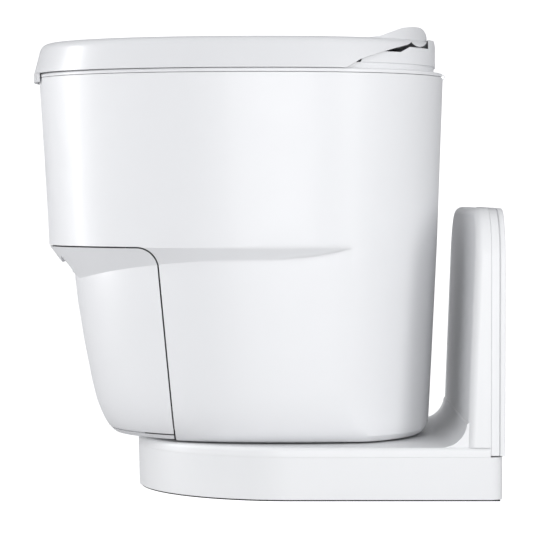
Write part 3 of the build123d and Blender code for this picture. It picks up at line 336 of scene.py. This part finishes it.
def gathered_film():
    """The gathered film that stands in pleats on the magazine round the bowl."""
    verts = []
    faces = []
    around = PLEATS * PLEAT_STEPS
    for i in range(around):
        angle = 2 * math.pi * i / around
        fold = math.cos(PLEATS * angle + 0.8 * math.sin(5 * angle))
        lift = 0.78 + 0.22 * fold + 0.05 * math.sin(11 * angle)
        for k in range(BAND_POINTS):
            turn = 2 * math.pi * k / BAND_POINTS
            out = PLEAT_BAND * math.cos(turn) * (1.0 - 0.05 * fold)
            rise = PLEAT_HIGH * max(0.0, math.sin(turn)) * lift
            x = BOWL_X + (PLEAT_LONG + out) * math.cos(angle)
            y = (PLEAT_WIDE + out) * math.sin(angle)
            verts.append((x, y, PLEAT_FOOT + rise))
    for i in range(around):
        for k in range(BAND_POINTS):
            a = i * BAND_POINTS + k
            b = i * BAND_POINTS + (k + 1) % BAND_POINTS
            c = ((i + 1) % around) * BAND_POINTS + (k + 1) % BAND_POINTS
            d = ((i + 1) % around) * BAND_POINTS + k
            faces.append((a, d, c, b))
    mesh = bpy.data.meshes.new("film_pleats")
    mesh.from_pydata(verts, [], faces)
    form = bmesh.new()
    form.from_mesh(mesh)
    bmesh.ops.recalc_face_normals(form, faces=form.faces)
    form.to_mesh(mesh)
    form.free()
    for face in mesh.polygons:
        face.use_smooth = True
    return mesh


def key_mark():
    """A plain open ring with a bar, moulded on the start key."""
    curve = bpy.data.curves.new("key_mark", "CURVE")
    curve.dimensions = "3D"
    curve.bevel_depth = MARK_THICK
    curve.bevel_resolution = 2
    curve.use_fill_caps = True
    x, y, z = KEY_PLACE
    gap = math.radians(38)
    arc = []
    for step in range(29):
        angle = gap + (2 * math.pi - 2 * gap) * step / 28
        arc.append((x - MARK_R * math.cos(angle), y + MARK_R * math.sin(angle), z))
    bar = [(x - 0.0006, y, z), (x - MARK_R - 0.0004, y, z)]
    for points in (arc, bar):
        line = curve.splines.new("POLY")
        line.points.add(len(points) - 1)
        for point, place in zip(line.points, points):
            point.co = (*place, 1.0)
    return curve


add_piece("film_pleats", gathered_film(), film_milky, "toilet")
add_piece("key_mark", key_mark(), inner_grey, "key")


# Floor, backdrop, lights and camera

def backdrop_sheet():
    """A pale sheet that lies on the floor and curves up behind."""
    mesh = bpy.data.meshes.new("backdrop")
    rows = [(-PAPER_REACH, 0.0)]
    for step in range(PAPER_STEPS + 1):
        angle = math.pi / 2 * step / PAPER_STEPS
        rows.append((PAPER_BEND_Y + PAPER_BEND_R * math.sin(angle), PAPER_BEND_R * (1 - math.cos(angle))))
    rows.append((PAPER_BEND_Y + PAPER_BEND_R, PAPER_TOP))
    verts = []
    faces = []
    for y, z in rows:
        verts.append((-PAPER_REACH, y, z))
        verts.append((PAPER_REACH, y, z))
    for i in range(len(rows) - 1):
        faces.append((2 * i, 2 * i + 1, 2 * i + 3, 2 * i + 2))
    mesh.from_pydata(verts, [], faces)
    sheet = bpy.data.objects.new("backdrop", mesh)
    bpy.context.scene.collection.objects.link(sheet)
    for face in mesh.polygons:
        face.use_smooth = True
    return sheet


def paper_white():
    """Plain pale paper that shows white and gives little light back to the piece."""
    made = moulded("paper_white", (0.54, 0.54, 0.545), 0.9, grain=60.0, grain_depth=0.0001, spread=0.004)
    tree = made.node_tree
    shader = tree.nodes["Principled BSDF"]
    node_input(shader, "Specular IOR Level", 0.0)
    node_input(shader, "Emission Color", (1.0, 1.0, 1.0, 1.0))
    path = tree.nodes.new("ShaderNodeLightPath")
    glow = tree.nodes.new("ShaderNodeMath")
    glow.operation = "MULTIPLY"
    glow.inputs[1].default_value = PAPER_GLOW
    tree.links.new(path.outputs["Is Camera Ray"], glow.inputs[0])
    tree.links.new(glow.outputs["Value"], shader.inputs["Emission Strength"])
    return made


sheet = backdrop_sheet()
sheet.data.materials.append(paper_white())

world = bpy.data.worlds.new("studio")
bpy.context.scene.world = world
world.use_nodes = True
sky = world.node_tree.nodes["Background"]
node_input(sky, "Color", (0.97, 0.98, 1.0, 1.0))
node_input(sky, "Strength", SKY)


def softbox(name, place, target, width, height, power):
    """A rectangular area light that faces a target."""
    data = bpy.data.lights.new(name, "AREA")
    data.shape = "RECTANGLE"
    data.size = width
    data.size_y = height
    data.energy = power
    lamp = bpy.data.objects.new(name, data)
    bpy.context.scene.collection.objects.link(lamp)
    lamp.location = place
    aim = Vector(target) - Vector(place)
    lamp.rotation_euler = aim.to_track_quat("-Z", "Y").to_euler()
    return lamp


for name, place, target, width, height, power in LAMPS:
    softbox(name, place, target, width, height, power)

data = bpy.data.cameras.new("camera")
data.lens = LENS_MM
data.sensor_width = SENSOR_MM
data.clip_end = CLIP_END
camera = bpy.data.objects.new("camera", data)
bpy.context.scene.collection.objects.link(camera)
camera.location = CAMERA_PLACE
aim = Vector(CAMERA_TARGET) - Vector(camera.location)
camera.rotation_euler = aim.to_track_quat("-Z", "Y").to_euler()
bpy.context.scene.camera = camera
bpy.context.scene.view_settings.view_transform = "Standard"

for spare in ("Cube", "Light", "Camera"):
    found = bpy.data.objects.get(spare)
    if found is not None and "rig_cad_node" not in found:
        bpy.data.objects.remove(found)
